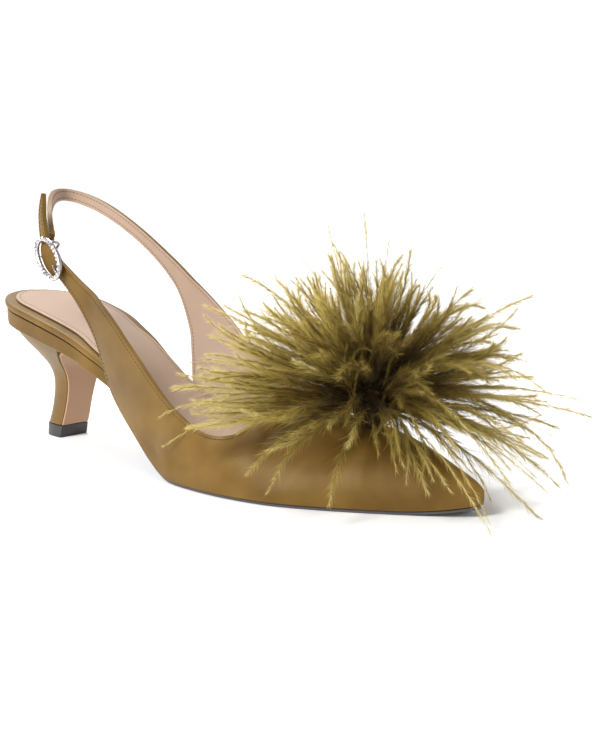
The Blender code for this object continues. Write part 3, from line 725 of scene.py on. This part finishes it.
def barbMesh(course, count, length, chance):
    # soft barbs all round the stalk, longest past the middle
    barb = barbSettings
    at = np.sort(chance.uniform(barb["from"], 1.0, count))
    steps = np.linspace(0.0, 1.0, len(course))
    base = np.array([np.interp(at, steps, course[:, k]) for k in range(3)]).T
    run = np.gradient(course, axis=0)
    run = np.array([np.interp(at, steps, run[:, k]) for k in range(3)]).T
    run /= np.linalg.norm(run, axis=1, keepdims=True)
    first, second = crossFrame(run)
    turn = chance.uniform(0.0, 2 * np.pi, count)[:, None]
    aside = first * np.cos(turn) + second * np.sin(turn)
    wide = np.abs(chance.normal(barb["opening"], barb["openingVary"], count))
    wide = np.radians(wide + barb["openingLeast"])[:, None]
    swell = np.sin(np.pi * at ** barb["swellEarly"]) ** barb["swellFlat"]
    reach = length * (barb["base"] + barb["swell"] * swell)
    reach = reach * chance.uniform(*barb["vary"], count)
    leave = run * np.cos(wide) + aside * np.sin(wide)
    leave = leave + chance.normal(0.0, barb["stray"], (count, 3))
    leave[:, 2] -= barb["sag"]
    tip = base + leave * reach[:, None]
    u, v = crossFrame(tip - base)
    foot = [base + barb["width"] * (u * math.cos(a) + v * math.sin(a)) for a in corners]
    spots = np.stack(foot + [tip], axis=1).reshape(-1, 3)
    faces = (barbFaces[None] + 4 * np.arange(count)[:, None, None]).reshape(-1, 3)
    shade = chance.normal(0.0, barb["shade"], count)
    tones = np.repeat(at + shade * barb["shadeTimes"], 4)
    return spots, faces, tones + np.tile([0, 0, 0, barb["tipTone"]], count)


def arrayMesh(name, spots, faces, tones):
    mesh = bpy.data.meshes.new(name)
    mesh.vertices.add(len(spots))
    mesh.vertices.foreach_set("co", (spots * mm).ravel())
    mesh.loops.add(faces.size)
    mesh.loops.foreach_set("vertex_index", faces.ravel())
    mesh.polygons.add(len(faces))
    mesh.polygons.foreach_set("loop_start", np.arange(0, faces.size, 3))
    mesh.update(calc_edges=True)
    tone = mesh.attributes.new("tone", "FLOAT", "POINT")
    tone.data.foreach_set("value", tones.astype(np.float32))
    mesh.shade_smooth()
    return mesh


def domePlans(core, chance):
    # fronds spread evenly over a dome, in clumps that lean the same way
    frond = frondSettings
    golden = math.pi * (3 - math.sqrt(5))
    plans = []
    clump = np.zeros(3)
    for number in range(frond["count"]):
        if number % frond["clump"] == 0:
            clump = chance.normal(0.0, frond["clumpSpread"], 3)
        height = frond["dome"] * (number + 0.5) / frond["count"]
        turn = number * golden
        flat = math.sqrt(1 - height * height)
        aim = Vector((flat * math.cos(turn), flat * math.sin(turn), height))
        aim += Vector(clump) + Vector(chance.normal(0.0, frond["spread"], 3))
        aim.z = max(aim.z, frond["lowest"])
        aim.normalize()
        root = core + Vector((aim.x, aim.y, 0.0)) * frond["rootOut"]
        root.z += frond["rootRise"] * (frond["riseTop"] * aim.z - frond["riseDown"])
        near = max(aim.dot(Vector(viewAxes[2])), 0.0)
        if near > frond["near"] and number % frond["clump"] < frond["nearOut"]:
            continue
        reach = frond["reach"] * (1.0 + frond["vary"] * chance.normal())
        flatten = 1.0 - frond["low"] * max(aim.z, 0.0) ** frond["lowPower"]
        reach *= flatten * (1.0 - frond["nearShort"] * near ** 2)
        toeward = 0.5 + 0.5 * aim.x
        droop = (frond["droop"] + frond["droopToe"] * toeward) * (1.0 - aim.z)
        droop = droop * chance.uniform(*frond["droopVary"])
        tip = root + aim * reach + Vector((0.0, 0.0, frond["heelLift"] * (1 - toeward) - droop))
        bend = Vector(chance.normal(0.0, frond["bend"] * reach, 3))
        first, second = frond["knees"]
        rise = Vector((0.0, 0.0, frond["kneeLift"]))
        fall = Vector((0.0, 0.0, frond["kneeDroop"] * droop))
        controls = [root, root + aim * reach * first + rise + bend * frond["bendFirst"],
                    root + aim * reach * second - fall + bend, tip]
        plans.append((controls, 1.0, chance.normal(0.0, frond["tint"]), 1.0))
    return plans


def frondPlans(chance):
    # the control points, fullness, tone and length of barb of every frond
    core = Vector(puffSettings["core"])
    plans = domePlans(core, chance)
    stray, tuft, curled = straySettings, tuftSettings, curlSettings
    for spot, bow, fullness in strayFronds:
        tip = Vector(spot)
        root = core + (tip - core).normalized() * frondSettings["rootOut"] * stray["root"]
        knee = (root + tip) / 2 + Vector((0.0, 0.0, bow))
        knee += Vector(chance.normal(0.0, stray["wobble"], 3))
        plans.append(([root, knee, tip], fullness, stray["tint"], stray["barbs"]))
    for _ in range(tuft["count"]):
        aim = Vector(chance.normal(0.0, 1.0, 3)).normalized()
        aim.z = abs(aim.z)
        root = core + Vector((0.0, 0.0, chance.uniform(*tuft["rise"])))
        tip = root + aim * chance.uniform(*tuft["reach"])
        knee = (root + tip) / 2 + Vector(chance.normal(0.0, tuft["wobble"], 3))
        plans.append(([root, knee, tip], tuft["fullness"], tuft["tint"], tuft["barbs"]))
    for curl in curls:
        spots = [core + sum((Vector(axis) * c for axis, c in zip(viewAxes, spot)), Vector())
                 for spot in curl]
        plans.append((spots, curled["fullness"], curled["tint"], curled["barbs"]))
    return plans


def makeKnot():
    # the bound middle, where all the fronds are tied
    bm = bmesh.new()
    bmesh.ops.create_icosphere(bm, subdivisions=4, radius=1.0)
    for vert in bm.verts:
        vert.co *= 1.0 + 0.10 * math.sin(9 * vert.co.x + 4 * vert.co.z) * math.cos(11 * vert.co.y)
    bmesh.ops.scale(bm, verts=bm.verts[:], vec=[size * mm for size in puffSettings["knot"]])
    bmesh.ops.translate(bm, verts=bm.verts[:], vec=[c * mm for c in puffSettings["knotPlace"]])
    mesh = bpy.data.meshes.new("featherKnot")
    bm.to_mesh(mesh)
    bm.free()
    mesh.shade_smooth()
    mesh.attributes.new("tone", "FLOAT", "POINT")
    piece("featherKnot", mesh, [feather], "feather")


def makePuff():
    chance = np.random.default_rng(puffSettings["seed"])
    plans = frondPlans(chance)
    skin = skinOf(bpy.data.objects["satinUpper"].data)
    core = np.array(puffSettings["core"])
    shares = puffSettings["pieces"]
    total = 0
    for share in range(shares):
        spots, faces, tones, start = [], [], [], 0
        for controls, fullness, tint, barbScale in plans[share::shares]:
            course = bentCourse(controls, puffSettings["steps"])
            course = liftedClear(course, skin, puffSettings["clear"])
            span = np.linalg.norm(np.diff(course, axis=0), axis=1).sum()
            count = int(barbSettings["count"] * fullness * span / frondSettings["reach"])
            parts = [stemMesh(course, barbSettings["stem"]),
                     barbMesh(course, count, barbSettings["length"] * barbScale, chance)]
            for partSpots, partFaces, partTones in parts:
                partSpots[:, 2] = np.maximum(partSpots[:, 2], puffSettings["floor"])
                spots.append(partSpots)
                faces.append(partFaces + start)
                out = np.linalg.norm(partSpots - core, axis=1) - puffSettings["toneFrom"]
                shade = (puffSettings["tonePart"] * partTones
                         + puffSettings["toneOut"] * out / puffSettings["toneOver"] + tint)
                tones.append(np.clip(shade, 0.0, 1.0))
                start += len(partSpots)
        name = f"featherPuff{share + 1}"
        mesh = arrayMesh(name, np.vstack(spots), np.vstack(faces), np.concatenate(tones))
        piece(name, mesh, [feather], "feather", *(["feather_puff"] if share == 0 else []))
        total += len(mesh.polygons)
    print("puff:", len(plans), "fronds,", total, "triangles")


makeKnot()
makePuff()


# the studio: a white floor, a sun from behind on the left, a soft box in front, the camera
studio = {"floor": (0.93, 0.93, 0.935), "reach": 6.0,
          "fade": {"From Min": 0.25, "From Max": 0.70, "To Min": 1.02, "To Max": 0.45}}
# the sun: where it shines from, its width in degrees and its strength
sun = {"from": (-0.50, 0.30, 1.0), "width": 24.0, "strength": 2.6}
lights = [
    # name, place, target, size, power
    ("softBox", (0.10, -0.90, 0.80), (0.15, 0.0, 0.02), 0.45, 15.0),
]
cameraSettings = {
    "azimuth": 41.489, "elevation": 8.267, "roll": -0.246, "distance": 450.0,
    "target": (145.244, 0.0, 44.235), "focal": 1199.676, "imageHeight": 734, "sensor": 36.0,
}


def makeStudio():
    bm = bmesh.new()
    bmesh.ops.create_grid(bm, x_segments=2, y_segments=2, size=studio["reach"])
    mesh = bpy.data.meshes.new("studioFloor")
    bm.to_mesh(mesh)
    bm.free()
    floor = bpy.data.objects.new("studioFloor", mesh)
    bpy.context.scene.collection.objects.link(floor)
    paper = Finish("paper", Roughness=0.9, Specular_IOR_Level=0.1)
    tooth = paper.noise(60.0, 2.0)
    low = tuple(c * 0.99 for c in studio["floor"])
    mesh.materials.append(paper.surface(Base_Color=paper.mix(tooth, low, studio["floor"])))
    world = bpy.data.worlds.new("studioWorld")
    world.use_nodes = True
    # white where it is seen, dimmer overhead so that the satin keeps its shades
    tree = world.node_tree
    spot = tree.nodes.new("ShaderNodeTexCoord")
    split = tree.nodes.new("ShaderNodeSeparateXYZ")
    fade = tree.nodes.new("ShaderNodeMapRange")
    for key, value in studio["fade"].items():
        fade.inputs[key].default_value = value
    tree.links.new(spot.outputs["Generated"], split.inputs[0])
    tree.links.new(split.outputs["Z"], fade.inputs["Value"])
    tree.links.new(fade.outputs["Result"], tree.nodes["Background"].inputs["Strength"])
    tree.nodes["Background"].inputs["Color"].default_value = (1.0, 1.0, 1.0, 1.0)
    bpy.context.scene.world = world
    for name, place, target, size, power in lights:
        lamp = bpy.data.lights.new(name, "AREA")
        lamp.shape = "DISK"
        lamp.size = size
        lamp.energy = power
        holder = bpy.data.objects.new(name, lamp)
        holder.location = place
        holder.rotation_euler = (Vector(target) - Vector(place)).to_track_quat("-Z", "Y").to_euler()
        bpy.context.scene.collection.objects.link(holder)
    glow = bpy.data.lights.new("sun", "SUN")
    glow.angle = math.radians(sun["width"])
    glow.energy = sun["strength"]
    holder = bpy.data.objects.new("sun", glow)
    holder.rotation_euler = (-Vector(sun["from"])).to_track_quat("-Z", "Y").to_euler()
    bpy.context.scene.collection.objects.link(holder)
    bpy.context.scene.view_settings.view_transform = "Standard"


def makeCamera():
    az, el, roll = (math.radians(cameraSettings[key]) for key in ("azimuth", "elevation", "roll"))
    back = Vector((math.sin(az) * math.cos(el), -math.cos(az) * math.cos(el), math.sin(el)))
    level = (-back).cross(Vector((0.0, 0.0, 1.0))).normalized()
    above = level.cross(-back)
    right = level * math.cos(roll) + above * math.sin(roll)
    up = -level * math.sin(roll) + above * math.cos(roll)
    data = bpy.data.cameras.new("photoCamera")
    data.sensor_width = cameraSettings["sensor"]
    data.lens = cameraSettings["focal"] * cameraSettings["sensor"] / cameraSettings["imageHeight"]
    data.clip_start = 0.01
    camera = bpy.data.objects.new("photoCamera", data)
    turn = Matrix((right, up, back)).transposed().to_4x4()
    turn.translation = (Vector(cameraSettings["target"]) + back * cameraSettings["distance"]) * mm
    camera.matrix_world = turn
    bpy.context.scene.collection.objects.link(camera)
    bpy.context.scene.camera = camera


makeStudio()
makeCamera()
print("studio lit")
